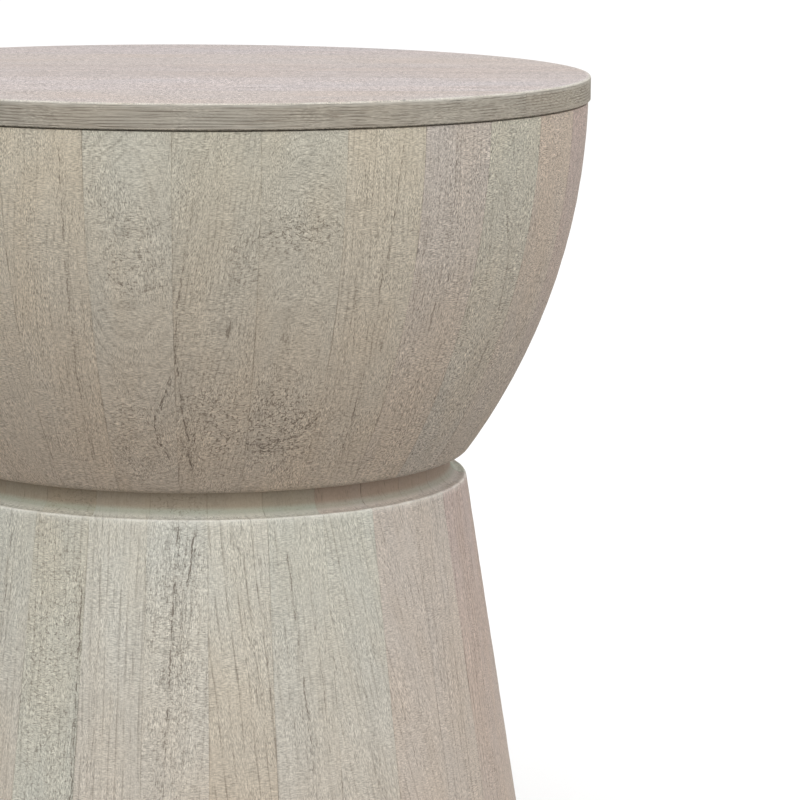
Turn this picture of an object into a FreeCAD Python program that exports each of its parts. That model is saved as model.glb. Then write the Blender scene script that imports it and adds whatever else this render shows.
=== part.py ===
import FreeCAD, Part
import os
import Sketcher

# Drum side table: a coopered base, a coopered bowl on top of it and a loose round lid.
# Millimetres, +Z up, origin on the floor under the middle of the table.
# The front, the side that faces the viewer, looks along -Y.

SIZES = (
    ("lid_diameter", 457.0, "round lid"),
    ("lid_thickness", 14.0, "lid boards"),
    ("lid_board_count", 5, "boards glued edge to edge in the lid"),
    ("lid_turning_waste", 6.0, "glued panel past the lid's edge, turned away"),
    ("lid_top_round", 1.2, "worn upper arris of the lid"),
    ("lid_under_ease", 0.6, "chamfer under the lid"),
    ("rim_overhang", 1.4, "lid edge past the rim of the bowl"),
    ("rim_ease_width", 6.0, "outer part of the rim that falls away, seen from above"),
    ("rim_ease_drop", 1.0, "height of the shadow line under the lid"),
    ("bowl_height", 206.0, "bowl staves, waist to rim"),
    ("bowl_bottom_diameter", 316.6, "flank of the bowl carried down to the waist"),
    ("bowl_flank_radius", 362.0, "turned curve of the flank, seen from the side"),
    ("bowl_bottom_round", 8.0, "rounded lower edge of the bowl"),
    ("bowl_rim_wall", 17.0, "stave thickness at the rim"),
    ("bowl_bottom_wall", 22.0, "stave thickness at the waist"),
    ("bowl_stave_count", 30, "staves round the bowl"),
    ("bowl_joint_turn", -3.3, "degrees from the front to the first joint"),
    ("base_height", 285.0, "base staves, foot to waist"),
    ("foot_diameter", 403.8, "flared foot"),
    ("foot_ease", 2.0, "chamfer round the foot"),
    ("shoulder_stand", 0.3, "crisp edge at the top of the cone, past the bowl's bottom"),
    ("shoulder_round", 1.5, "worn arris of that edge"),
    ("groove_height", 14.3, "turned groove between base and bowl"),
    ("groove_depth", 10.1, "groove, measured in from that edge"),
    ("cove_radius", 8.0, "hollow curve at the bottom of the groove"),
    ("base_foot_wall", 24.0, "stave thickness at the foot"),
    ("base_neck_wall", 14.0, "stave thickness at the neck"),
    ("base_stave_count", 30, "staves round the base, glued up in pairs"),
    ("base_joint_turn", 2.2, "degrees from the front to the first joint"),
    ("bowl_floor_thickness", 18.0, "disc that closes the bowl"),
    ("base_top_thickness", 22.0, "disc let into the top of the base"),
    ("foot_ring_thickness", 18.0, "ring inside the foot"),
    ("foot_ring_width", 42.0, "ring, measured along a radius"),
    ("disc_clearance", 0.2, "glue gap between a disc and the staves"),
    ("batten_width", 45.0, "batten under the lid"),
    ("batten_thickness", 18.0, "batten under the lid"),
    ("batten_spacing", 220.0, "middle to middle of the two battens"),
    ("batten_clearance", 2.5, "gap between a batten's end and the bowl"),
    ("lid_screw_end", 12.5, "outer screws, from the ends of a batten"),
    ("lid_screw_per_batten", 5, "screws along a batten"),
    ("lid_screw_length", 26.0, "screw, head included"),
    ("lid_screw_shank", 4.0, "screw diameter"),
    ("lid_screw_head", 8.0, "countersunk head diameter"),
    ("waist_screw_circle", 190.0, "circle of the screws that join bowl and base"),
    ("waist_screw_count", 6, "screws that join bowl and base"),
    ("waist_screw_length", 36.0, "screw, head included"),
    ("waist_screw_shank", 5.0, "screw diameter"),
    ("waist_screw_head", 10.0, "countersunk head diameter"),
    ("screw_head_flat", 0.5, "straight edge of a countersunk head"),
    ("hole_clearance", 0.15, "room round a screw or nail"),
    ("glide_height", 3.0, "glide head under the foot"),
    ("glide_diameter", 25.0, "glide head"),
    ("glide_round", 1.0, "rounded lower edge of a glide"),
    ("glide_count", 6, "glides under the foot ring"),
    ("glide_nail_diameter", 3.0, "nail of a glide"),
    ("glide_nail_length", 13.0, "nail of a glide, above its head"),
)

doc = FreeCAD.newDocument("drum_side_table")
sheet = doc.addObject("Spreadsheet::Sheet", "Sizes")
for row, (alias, size, meaning) in enumerate(SIZES, start=1):
    sheet.set("A%d" % row, alias)
    sheet.set("B%d" % row, str(size))
    sheet.set("C%d" % row, meaning)
    sheet.setAlias("B%d" % row, alias)
doc.recompute()

# Heights above the floor and radii that several pieces share
FOOT = "Sizes.glide_height"
WAIST = "(Sizes.glide_height + Sizes.base_height)"
SHOULDER = "(%s - Sizes.groove_height)" % WAIST
RIM = "(%s + Sizes.bowl_height)" % WAIST
LID_TOP = "(%s + Sizes.lid_thickness)" % RIM
LID_RADIUS = "(Sizes.lid_diameter / 2)"
RIM_RADIUS = "(%s - Sizes.rim_overhang)" % LID_RADIUS
BOWL_MOUTH = "(%s - Sizes.bowl_rim_wall)" % RIM_RADIUS
BOWL_WELL = "(Sizes.bowl_bottom_diameter / 2 - Sizes.bowl_bottom_wall)"
BOWL_TAPER = "((%s - %s) / Sizes.bowl_height)" % (BOWL_MOUTH, BOWL_WELL)
FOOT_RADIUS = "(Sizes.foot_diameter / 2)"
SHOULDER_RADIUS = "(Sizes.bowl_bottom_diameter / 2 + Sizes.shoulder_stand)"
NECK_RADIUS = "(%s - Sizes.groove_depth)" % SHOULDER_RADIUS
FOOT_BORE = "(%s - Sizes.base_foot_wall)" % FOOT_RADIUS
NECK_BORE = "(%s - Sizes.base_neck_wall)" % NECK_RADIUS
BASE_TAPER = "((%s - %s) / Sizes.base_height)" % (FOOT_BORE, NECK_BORE)
# Round that the battens under the lid are cut to, at their underside
BATTEN_ROUND = "(%s - %s * Sizes.batten_thickness - Sizes.batten_clearance)" % (BOWL_MOUTH, BOWL_TAPER)
BATTEN_REACH = "sqrt(%s ^ 2 - (Sizes.batten_spacing / 2) ^ 2)" % BATTEN_ROUND
LID_SCREW_REACH = "(%s - Sizes.lid_screw_end)" % BATTEN_REACH
LID_SCREW_PITCH = "(2 * %s / (Sizes.lid_screw_per_batten - 1))" % LID_SCREW_REACH
# Corner between the two flats of the lid's worn arris, from the lid's top and from its edge
ARRIS_CORNER = "(0.3 * Sizes.lid_top_round)"
# The part of a whole turn on which the front lies
FRONT = 270


def value(expression):
    """The number that an expression of the sheet gives."""
    return float(sheet.evalExpression(str(expression)))


def plane(body, role):
    """One of the body's own origin planes or axes."""
    return [part for part in body.Origin.OriginFeatures if part.Role == role][0]


def bind(thing, **expressions):
    """Tie properties of an object to the sheet."""
    for name, expression in expressions.items():
        thing.setExpression(name, expression)


def closed_sketch(body, name, role, corners, arcs=None):
    """A closed outline in one of the body's planes.

    Each corner is a pair of expressions. arcs gives, for the side that starts at a corner,
    a radius and whether the side turns to the left (+1) or to the right (-1)."""
    arcs = arcs or {}
    sketch = body.newObject("Sketcher::SketchObject", name)
    sketch.AttachmentSupport = [(plane(body, role), "")]
    sketch.MapMode = "FlatFace"
    points = [FreeCAD.Vector(value(across), value(up), 0) for across, up in corners]
    starts, ends = [], []
    for side, point in enumerate(points):
        after = points[(side + 1) % len(points)]
        if side in arcs:
            radius, turn = arcs[side]
            chord = after - point
            left = FreeCAD.Vector(-chord.y, chord.x, 0).normalize()
            reach = value(radius)
            middle = (point + after) * 0.5 + left * turn * (reach ** 2 - chord.Length ** 2 / 4) ** 0.5
            crown = middle - left * turn * reach
            sketch.addGeometry(Part.Arc(point, crown, after))
            starts.append(1 if turn > 0 else 2)
            ends.append(2 if turn > 0 else 1)
        else:
            sketch.addGeometry(Part.LineSegment(point, after))
            starts.append(1)
            ends.append(2)
    for side in range(len(points)):
        after = (side + 1) % len(points)
        sketch.addConstraint(Sketcher.Constraint("Coincident", side, ends[side], after, starts[after]))
    for side, (across, up) in enumerate(corners):
        for kind, expression in (("DistanceX", across), ("DistanceY", up)):
            place = Sketcher.Constraint(kind, -1, 1, side, starts[side], value(expression))
            number = sketch.addConstraint(place)
            sketch.setExpression("Constraints[%d]" % number, expression)
    for side, (radius, turn) in arcs.items():
        number = sketch.addConstraint(Sketcher.Constraint("Radius", side, value(radius)))
        sketch.setExpression("Constraints[%d]" % number, radius)
    return sketch


def turned(body, name, sketch, axis="V_Axis", angle="360"):
    """Turn an outline about an axis, evenly to both sides of its plane."""
    feature = body.newObject("PartDesign::Revolution", name)
    feature.Profile = sketch
    feature.ReferenceAxis = (sketch, [axis])
    feature.Midplane = True
    bind(feature, Angle=angle)
    doc.recompute()
    return feature


def outer_edge(shape, height, radius):
    """Name of the round edge of a stave at a height and a radius."""
    for number, edge in enumerate(shape.Edges, start=1):
        at_height = all(abs(vertex.Z - height) < 1e-4 for vertex in edge.Vertexes)
        at_radius = all(abs(vertex.Point.cross(FreeCAD.Vector(0, 0, 1)).Length - radius) < 1e-4
                        for vertex in edge.Vertexes)
        if at_height and at_radius:
            return "Edge%d" % number
    raise ValueError("no round edge at height %.2f and radius %.2f" % (height, radius))


def stave_pattern(name, count, outside, arcs, inner_foot, inner_head, worn_corner, worn_size):
    """One stave, pointing along +X: turned outside, bevelled at the joints, flat inside.

    outside runs from foot to head. The flat inside runs from inner_foot to inner_head, and
    the board is a little thicker there before it is planed flat."""
    body = doc.addObject("PartDesign::Body", name)
    foot, head = outside[0][1], outside[-1][1]
    unplaned = " * cos(360 / %s)" % count
    corners = outside + ((inner_head + unplaned, head), (inner_foot + unplaned, foot))
    section = closed_sketch(body, name + "_section", "XZ_Plane", corners, arcs)
    wedge = turned(body, name + "_turned", section, angle="360 / %s" % count)
    worn = body.newObject("PartDesign::Fillet", name + "_worn")
    corner_across, corner_up = (value(place) for place in worn_corner)
    worn.Base = (wedge, [outer_edge(wedge.Shape, corner_up, corner_across)])
    bind(worn, Radius=worn_size)
    doc.recompute()
    before = worn.Shape.Volume
    inside = closed_sketch(body, name + "_inside", "XZ_Plane",
                           ((inner_foot + " / 2", foot), (inner_foot, foot),
                            (inner_head, head), (inner_head + " / 2", head)))
    flat = body.newObject("PartDesign::Pocket", name + "_flat")
    flat.Profile = inside
    flat.SideType = "Symmetric"
    flat.Type = "ThroughAll"
    body.Tip = flat
    doc.recompute()
    if not flat.Shape.Volume < before:
        raise ValueError(name + " has no flat inside")
    return body


def stave(name, pattern, number, turn, count):
    """A copy of a stave in its place on the ring, counted from the front."""
    body = doc.addObject("PartDesign::Body", name)
    copied = body.newObject("PartDesign::FeatureBase", name + "_copy")
    copied.BaseFeature = pattern
    body.Tip = copied
    body.Placement = FreeCAD.Placement(FreeCAD.Vector(), FreeCAD.Rotation(FreeCAD.Vector(0, 0, 1), FRONT))
    body.setExpression("Placement.Rotation.Angle",
                       "%d + %s + (%d + 0.5) * 360 / %s" % (FRONT, turn, number, count))
    return body


def fastener(name, corners, axis_place, sketch_offset=None):
    """A screw or nail turned about an upright axis at a distance from the middle."""
    body = doc.addObject("PartDesign::Body", name)
    sketch = closed_sketch(body, name + "_section", "XZ_Plane", corners)
    foot, head = corners[0][1], corners[-1][1]
    ends = [FreeCAD.Vector(value(axis_place), value(up), 0) for up in (foot, head)]
    axis = sketch.addGeometry(Part.LineSegment(*ends), True)
    sketch.addConstraint(Sketcher.Constraint("Coincident", axis, 1, 0, 1))
    sketch.addConstraint(Sketcher.Constraint("Coincident", axis, 2, len(corners) - 1, 1))
    if sketch_offset:
        sketch.setExpression("AttachmentOffset.Base.z", sketch_offset)
    turned(body, name + "_turned", sketch, axis="Axis0")
    return body


def screw_outline(place, head_height, size, upward, room):
    """Half outline of a countersunk screw: its head at head_height, its point below or above."""
    way = "+" if upward else "-"
    half_head = "(Sizes.%s_head / 2 + %s)" % (size, room)
    half_shank = "(Sizes.%s_shank / 2 + %s)" % (size, room)
    depths = ("0", "Sizes.screw_head_flat", "Sizes.screw_head_flat + %s - %s" % (half_head, half_shank),
              "Sizes.%s_length + %s" % (size, room))
    heights = ["%s %s (%s)" % (head_height, way, depth) for depth in depths]
    radii = (half_head, half_head, half_shank, half_shank)
    outline = [(place, heights[0])]
    outline += [("%s + %s" % (place, radius), up) for radius, up in zip(radii, heights)]
    outline.append((place, heights[-1]))
    return outline


def ring_of(body, count):
    """Repeat the body's last feature round the table's axis."""
    pattern = body.newObject("PartDesign::PolarPattern", body.Name + "_ring")
    pattern.Originals = [body.Tip]
    pattern.Axis = (plane(body, "Z_Axis"), [""])
    bind(pattern, Occurrences=count)
    body.Tip = pattern
    return body


def lid_screws(name, room):
    """Screws up through the two battens into the lid boards."""
    first = "(-Sizes.batten_spacing / 2)"
    under = "(%s - Sizes.batten_thickness)" % RIM
    outline = screw_outline(first, under, "lid_screw", True, room)
    body = fastener(name, outline, first, LID_SCREW_REACH)
    rows = body.newObject("PartDesign::LinearPattern", name + "_rows")
    rows.Originals = [body.Tip]
    rows.Mode = "Spacing"
    rows.Direction = (plane(body, "Y_Axis"), [""])
    rows.Direction2 = (plane(body, "X_Axis"), [""])
    bind(rows, Occurrences="Sizes.lid_screw_per_batten", Offset=LID_SCREW_PITCH,
         Occurrences2="2", Length2="Sizes.batten_spacing")
    body.Tip = rows
    return body


def waist_screws(name, room):
    """Screws down through the bowl's floor into the disc in the top of the base."""
    place = "(Sizes.waist_screw_circle / 2)"
    over = "(%s + Sizes.bowl_floor_thickness)" % WAIST
    return ring_of(fastener(name, screw_outline(place, over, "waist_screw", False, room), place),
                   "Sizes.waist_screw_count")


GLIDE_PLACE = "(%s - Sizes.disc_clearance - Sizes.foot_ring_width / 2)" % FOOT_BORE


def foot_glides(name, room):
    """Round glides with a nail, driven up into the foot ring."""
    half_head = "(Sizes.glide_diameter / 2)"
    half_nail = "(Sizes.glide_nail_diameter / 2 + %s)" % room
    nail_top = "(%s + Sizes.glide_nail_length + %s)" % (FOOT, room)
    floor = "0"
    outline = ((GLIDE_PLACE, floor), ("%s + %s - Sizes.glide_round" % (GLIDE_PLACE, half_head), floor),
               ("%s + %s" % (GLIDE_PLACE, half_head), "Sizes.glide_round"),
               ("%s + %s" % (GLIDE_PLACE, half_head), FOOT), ("%s + %s" % (GLIDE_PLACE, half_nail), FOOT),
               ("%s + %s" % (GLIDE_PLACE, half_nail), nail_top), (GLIDE_PLACE, nail_top))
    return ring_of(fastener(name, outline, GLIDE_PLACE), "Sizes.glide_count")


def tapered_disc(name, bottom, thickness, bottom_radius, top_radius):
    """A disc whose edge follows the slope of the staves round it."""
    disc = doc.addObject("Part::Cone", name)
    disc.setExpression("Placement.Base.z", bottom)
    bind(disc, Radius1=bottom_radius, Radius2=top_radius, Height=thickness)
    return disc


def block(name, width, depth, height, middle_across, middle_along, bottom):
    """A box placed by the middle of its width and depth and by its bottom."""
    board = doc.addObject("Part::Box", name)
    bind(board, Length=width, Width=depth, Height=height)
    board.setExpression("Placement.Base.x", "%s - (%s) / 2" % (middle_across, width))
    board.setExpression("Placement.Base.y", "%s - (%s) / 2" % (middle_along, depth))
    board.setExpression("Placement.Base.z", bottom)
    return board


def joined(kind, name, base, tool):
    """A boolean of two objects."""
    result = doc.addObject("Part::" + kind, name)
    result.Base = base
    result.Tool = tool
    return result


# Bowl: staves turned to one long curve outside, with a rounded lower edge and an eased rim
bowl_bottom_edge = ("Sizes.bowl_bottom_diameter / 2", WAIST)
bowl_pattern = stave_pattern(
    "bowl_stave_pattern", "Sizes.bowl_stave_count",
    (bowl_bottom_edge, (RIM_RADIUS, RIM + " - Sizes.rim_ease_drop"),
     (RIM_RADIUS + " - Sizes.rim_ease_width", RIM)),
    {0: ("Sizes.bowl_flank_radius", 1)}, BOWL_WELL, BOWL_MOUTH, bowl_bottom_edge, "Sizes.bowl_bottom_round")
bowl_staves = [stave("bowl_stave_%02d" % (number + 1), bowl_pattern, number,
                     "Sizes.bowl_joint_turn", "Sizes.bowl_stave_count")
               for number in range(int(value("Sizes.bowl_stave_count")))]

# Base: staves turned to a cone, with the groove of the waist cut in their upper ends
shoulder_edge = (SHOULDER_RADIUS, SHOULDER)
base_pattern = stave_pattern(
    "base_stave_pattern", "Sizes.base_stave_count",
    ((FOOT_RADIUS + " - Sizes.foot_ease", FOOT), (FOOT_RADIUS, FOOT + " + Sizes.foot_ease"), shoulder_edge,
     (NECK_RADIUS + " + Sizes.cove_radius", SHOULDER), (NECK_RADIUS, SHOULDER + " + Sizes.cove_radius"),
     (NECK_RADIUS, WAIST)),
    {3: ("Sizes.cove_radius", -1)}, FOOT_BORE, NECK_BORE, shoulder_edge, "Sizes.shoulder_round")
base_pairs = []
base_count = int(value("Sizes.base_stave_count"))
for first in range(0, base_count, 2):
    halves = [stave("base_stave_%02d" % (number + 1), base_pattern, number,
                    "Sizes.base_joint_turn", "Sizes.base_stave_count")
              for number in range(first, min(first + 2, base_count))]
    pair = doc.addObject("Part::Compound", "base_stave_pair_%02d" % (first // 2 + 1))
    pair.Links = halves
    base_pairs.append(pair)

# Floor of the bowl and top of the base: two discs, face to face, screwed together
waist_fasteners = waist_screws("waist_screws", "0")
waist_holes = waist_screws("waist_holes", "Sizes.hole_clearance")
floor_blank = tapered_disc("bowl_floor_blank", WAIST, "Sizes.bowl_floor_thickness",
                           "%s - Sizes.disc_clearance" % BOWL_WELL,
                           "%s + %s * Sizes.bowl_floor_thickness - Sizes.disc_clearance" % (BOWL_WELL, BOWL_TAPER))
bowl_floor = joined("Cut", "bowl_floor", floor_blank, waist_holes)
top_blank = tapered_disc("base_top_blank", "%s - Sizes.base_top_thickness" % WAIST, "Sizes.base_top_thickness",
                         "%s + %s * Sizes.base_top_thickness - Sizes.disc_clearance" % (NECK_BORE, BASE_TAPER),
                         "%s - Sizes.disc_clearance" % NECK_BORE)
base_top_disc = joined("Cut", "base_top_disc", top_blank, waist_holes)

# Foot: a ring inside the lower edge of the base carries the glides
glides = foot_glides("foot_glides", "0")
glide_holes = foot_glides("glide_holes", "Sizes.hole_clearance")
ring_blank = tapered_disc("foot_ring_blank", FOOT, "Sizes.foot_ring_thickness",
                          "%s - Sizes.disc_clearance" % FOOT_BORE,
                          "%s - %s * Sizes.foot_ring_thickness - Sizes.disc_clearance" % (FOOT_BORE, BASE_TAPER))
ring_bore = doc.addObject("Part::Cylinder", "foot_ring_bore")
ring_bore.setExpression("Placement.Base.z", FOOT)
bind(ring_bore, Radius="%s - Sizes.disc_clearance - Sizes.foot_ring_width" % FOOT_BORE,
     Height="Sizes.foot_ring_thickness")
foot_ring = joined("Cut", "foot_ring", joined("Cut", "foot_ring_open", ring_blank, ring_bore), glide_holes)

# Lid: a round panel, its upper arris worn to two flats, sawn here into the boards it is glued from
lid_fasteners = lid_screws("lid_screws", "0")
lid_holes = lid_screws("lid_screw_holes", "Sizes.hole_clearance")
panel = doc.addObject("PartDesign::Body", "lid_panel")
panel_section = closed_sketch(
    panel, "lid_section", "XZ_Plane",
    (("0", RIM), (LID_RADIUS + " - Sizes.lid_under_ease", RIM), (LID_RADIUS, RIM + " + Sizes.lid_under_ease"),
     (LID_RADIUS, LID_TOP + " - Sizes.lid_top_round"),
     ("%s - %s" % (LID_RADIUS, ARRIS_CORNER), "%s - %s" % (LID_TOP, ARRIS_CORNER)),
     (LID_RADIUS + " - Sizes.lid_top_round", LID_TOP), ("0", LID_TOP)))
turned(panel, "lid_turned", panel_section)
lid_boards = []
glued_width = "(Sizes.lid_diameter + 2 * Sizes.lid_turning_waste)"
board_width = "(%s / Sizes.lid_board_count)" % glued_width
for number in range(int(value("Sizes.lid_board_count"))):
    middle = "(%d + 0.5) * %s - %s / 2" % (number, board_width, glued_width)
    strip = block("lid_strip_%d" % (number + 1), glued_width, board_width, "Sizes.lid_thickness",
                  "0", middle, RIM)
    board = joined("Common", "lid_blank_%d" % (number + 1), panel, strip)
    lid_boards.append(joined("Cut", "lid_board_%d" % (number + 1), board, lid_holes))

# Battens under the lid keep its boards flat and keep the lid in the mouth of the bowl
mouth = tapered_disc("lid_mouth", "%s - Sizes.batten_thickness" % RIM, "Sizes.batten_thickness",
                     BATTEN_ROUND, "%s - Sizes.batten_clearance" % BOWL_MOUTH)
battens = []
for name, side in (("lid_batten_left", "-"), ("lid_batten_right", "+")):
    plank = block(name + "_plank", "Sizes.batten_width", "Sizes.lid_diameter", "Sizes.batten_thickness",
                  "%s Sizes.batten_spacing / 2" % side, "0", "%s - Sizes.batten_thickness" % RIM)
    battens.append(joined("Cut", name, joined("Common", name + "_blank", plank, mouth), lid_holes))

doc.recompute()
for thing in doc.Objects:
    if "Invalid" in thing.State or "Error" in thing.State:
        raise RuntimeError(thing.Name + " did not build")

subparts = bowl_staves + base_pairs + lid_boards + battens
subparts += [bowl_floor, base_top_disc, foot_ring, waist_fasteners, lid_fasteners, glides]
for piece in subparts:
    if piece.Shape.isNull() or not piece.Shape.isValid():
        raise RuntimeError(piece.Label + " has no sound shape")

os.makedirs("parts", exist_ok=True)
for piece in subparts:
    piece.Shape.exportStep(os.path.join("parts", piece.Label + ".step"))
    print("%-22s %d solids %10.1f mm3" % (piece.Label, len(piece.Shape.Solids), piece.Shape.Volume))
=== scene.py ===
import math
import random

import bpy
import numpy as np
from mathutils import Matrix, Vector


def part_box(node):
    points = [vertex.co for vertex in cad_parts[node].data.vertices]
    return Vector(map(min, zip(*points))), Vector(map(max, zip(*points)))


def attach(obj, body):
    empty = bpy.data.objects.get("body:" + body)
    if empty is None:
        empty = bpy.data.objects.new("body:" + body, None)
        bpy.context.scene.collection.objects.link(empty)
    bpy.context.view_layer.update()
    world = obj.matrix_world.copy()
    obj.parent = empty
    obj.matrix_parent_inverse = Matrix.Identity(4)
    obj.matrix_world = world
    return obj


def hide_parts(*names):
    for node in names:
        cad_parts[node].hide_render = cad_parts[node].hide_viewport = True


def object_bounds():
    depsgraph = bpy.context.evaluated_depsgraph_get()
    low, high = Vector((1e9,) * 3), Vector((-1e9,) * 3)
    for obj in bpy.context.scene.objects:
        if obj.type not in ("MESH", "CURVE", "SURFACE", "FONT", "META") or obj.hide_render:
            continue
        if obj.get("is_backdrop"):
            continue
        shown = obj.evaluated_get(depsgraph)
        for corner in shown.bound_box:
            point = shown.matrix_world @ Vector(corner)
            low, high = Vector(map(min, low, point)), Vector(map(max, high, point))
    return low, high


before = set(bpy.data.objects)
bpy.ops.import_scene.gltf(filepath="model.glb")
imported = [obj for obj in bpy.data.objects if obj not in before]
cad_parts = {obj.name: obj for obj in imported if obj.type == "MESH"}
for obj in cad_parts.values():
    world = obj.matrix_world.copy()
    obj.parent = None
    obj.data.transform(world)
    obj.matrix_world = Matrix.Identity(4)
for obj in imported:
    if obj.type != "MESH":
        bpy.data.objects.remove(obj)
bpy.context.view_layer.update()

MM = 0.001
dice = random.Random(1874)

# Heights and radii of the table, read from the frame
LID_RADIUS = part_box("lid_board_3")[1].x
LID_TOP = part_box("lid_board_3")[1].z
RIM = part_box("lid_board_3")[0].z
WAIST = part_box("bowl_stave_01")[0].z
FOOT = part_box("base_stave_pair_01")[0].z

# Lid
LID_BOARDS = 5
LID_WASTE = 6 * MM
LID_TOP_ROUND = 1.2 * MM
LID_UNDER_EASE = 0.6 * MM

# Bowl: staves turned outside to one arc, flat inside
BOWL_STAVES = sum(name.startswith("bowl_stave_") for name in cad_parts)
BOWL_FIRST_JOINT = math.radians(-3.3)
BOWL_LOW_RADIUS = 158.3 * MM
RIM_RADIUS = LID_RADIUS - 1.4 * MM
FLANK_ARC = 362 * MM
BOWL_ROUND = 8 * MM
RIM_EASE_WIDTH = 6 * MM
RIM_EASE_DROP = 1 * MM
BOWL_INSIDE_LOW = BOWL_LOW_RADIUS - 22 * MM
BOWL_INSIDE_HIGH = RIM_RADIUS - 17 * MM

# Base: a flared cone of staves with a cove under the bowl
BASE_STAVES = 2 * sum(name.startswith("base_stave_pair_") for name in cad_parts)
BASE_FIRST_JOINT = math.radians(2.2)
FOOT_RADIUS = 201.9 * MM
SHOULDER = WAIST - 14.3 * MM
SHOULDER_RADIUS = 158.6 * MM
SHOULDER_ROUND = 1.5 * MM
SHOULDER_EDGE = 4 * MM
# Reach of the painted highlight on the crisp edge of the shoulder
SHOULDER_HIGHLIGHT_REACH = 1.9 * MM
NECK_RADIUS = 148.5 * MM
COVE = 8 * MM
COVE_START = 0.1 * MM
FOOT_EASE = 2 * MM
BASE_INSIDE_LOW = FOOT_RADIUS - 24 * MM
BASE_INSIDE_HIGH = NECK_RADIUS - 14 * MM

# Staves: eased joints, and a blasted relief that stays clear of joints and ends
JOINT_EASE = 0.18 * MM
CLEAR_OF_JOINT = 0.6 * MM
CLEAR_OF_END = 3 * MM
RELIEF_SIZE = 11 * MM
RELIEF_DEPTH = 0.5 * MM
FRONT = math.radians(270)

# Share of the inside radius where an outline starts, to be cut flat later
SPARE_INSIDE = 0.9

# Points and facets, close enough to carry the relief and the marks of the wood
BOWL_ROUND_POINTS, FLANK_POINTS, BOWL_FACETS = 7, 76, 14
CONE_POINTS, CREST_POINTS, COVE_POINTS, BASE_FACETS = 84, 6, 9, 10
LID_FACETS, LID_ROUND_FACETS, LID_EASE_FACETS = 360, 4, 1
SCREW_FACETS = 32

# Slack in telling places and angles apart, and the angle up to which faces are shaded as one
SAME_PLACE = 0.01 * MM
SAME_ANGLE = 0.0004
SMOOTH_ANGLE = math.radians(32)


# Working by hand: select one object, pick parts of it by place, go in and out of edit mode
def only(thing):
    if bpy.context.mode != "OBJECT":
        bpy.ops.object.mode_set(mode="OBJECT")
    bpy.ops.object.select_all(action="DESELECT")
    thing.select_set(True)
    bpy.context.view_layer.objects.active = thing


def edit(thing, kind="VERT"):
    only(thing)
    bpy.ops.object.mode_set(mode="EDIT")
    bpy.ops.mesh.select_mode(type=kind)


def edit_all(thing, kind="VERT"):
    edit(thing, kind)
    bpy.ops.mesh.select_all(action="SELECT")


def done():
    bpy.ops.object.mode_set(mode="OBJECT")


def spots(mesh):
    places = np.empty(len(mesh.vertices) * 3)
    mesh.vertices.foreach_get("co", places)
    return places.reshape(-1, 3)


def pick_edges(thing, wanted):
    """Selects the edges whose two ends pass the test, and stays in edit mode."""
    only(thing)
    mesh = thing.data
    at = spots(mesh)
    for group in (mesh.vertices, mesh.polygons):
        group.foreach_set("select", np.zeros(len(group), bool))
    chosen = [wanted(at[edge.vertices[0]], at[edge.vertices[1]]) for edge in mesh.edges]
    mesh.edges.foreach_set("select", chosen)
    bpy.ops.object.mode_set(mode="EDIT")
    bpy.ops.mesh.select_mode(type="EDGE")


def clean(thing):
    """Merged doubles, outward normals and smooth shading up to an angle."""
    edit_all(thing)
    bpy.ops.mesh.remove_doubles(threshold=SAME_PLACE)
    bpy.ops.mesh.normals_make_consistent(inside=False)
    done()
    bpy.ops.object.shade_smooth_by_angle(angle=SMOOTH_ANGLE)


def copy_of(thing, name):
    made = thing.copy()
    made.data = thing.data.copy()
    made.name = made.data.name = name
    bpy.context.collection.objects.link(made)
    return made


def drop(thing):
    mesh = thing.data
    bpy.data.objects.remove(thing)
    bpy.data.meshes.remove(mesh)


def arc(centre, radius, start, end, count):
    """Points of an arc in the upright plane, angles in radians."""
    return [(centre[0] + radius * math.cos(turn), centre[1] + radius * math.sin(turn))
            for turn in np.linspace(start, end, count)]


def line(start, end, count):
    return [(start[0] + (end[0] - start[0]) * share, start[1] + (end[1] - start[1]) * share)
            for share in np.linspace(0, 1, count)]


def drawn_face(name, points):
    """A face in the XZ plane, its outline drawn point by point."""
    bpy.ops.object.select_all(action="DESELECT")
    bpy.ops.mesh.primitive_plane_add(size=0.01, location=(points[0][0], 0, points[0][1]))
    thing = bpy.context.object
    thing.name = thing.data.name = name
    bpy.ops.object.transform_apply(location=True, rotation=True, scale=True)
    edit_all(thing)
    bpy.ops.mesh.merge(type="CENTER")
    for before, after in zip(points, points[1:]):
        step = (after[0] - before[0], 0, after[1] - before[1])
        bpy.ops.mesh.extrude_vertices_move(TRANSFORM_OT_translate={"value": step})
    bpy.ops.mesh.select_all(action="SELECT")
    bpy.ops.mesh.edge_face_add()
    done()
    return thing


def write_attribute(mesh, name, kind, values):
    layer = mesh.attributes.new(name, kind, "POINT")
    field = {"FLOAT": "value", "FLOAT_VECTOR": "vector", "FLOAT_COLOR": "color"}[kind]
    layer.data.foreach_set(field, np.ascontiguousarray(values, dtype=np.float32).ravel())


# Staves
ARRIS_DEPTH = 2 * MM


def inside_line(low, high, foot, head):
    """Direction along a stave's flat inside and the direction out of it, as radius and height."""
    length = math.hypot(high - low, head - foot)
    along = ((high - low) / length, (head - foot) / length)
    return along, (along[1], -along[0])


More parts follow.
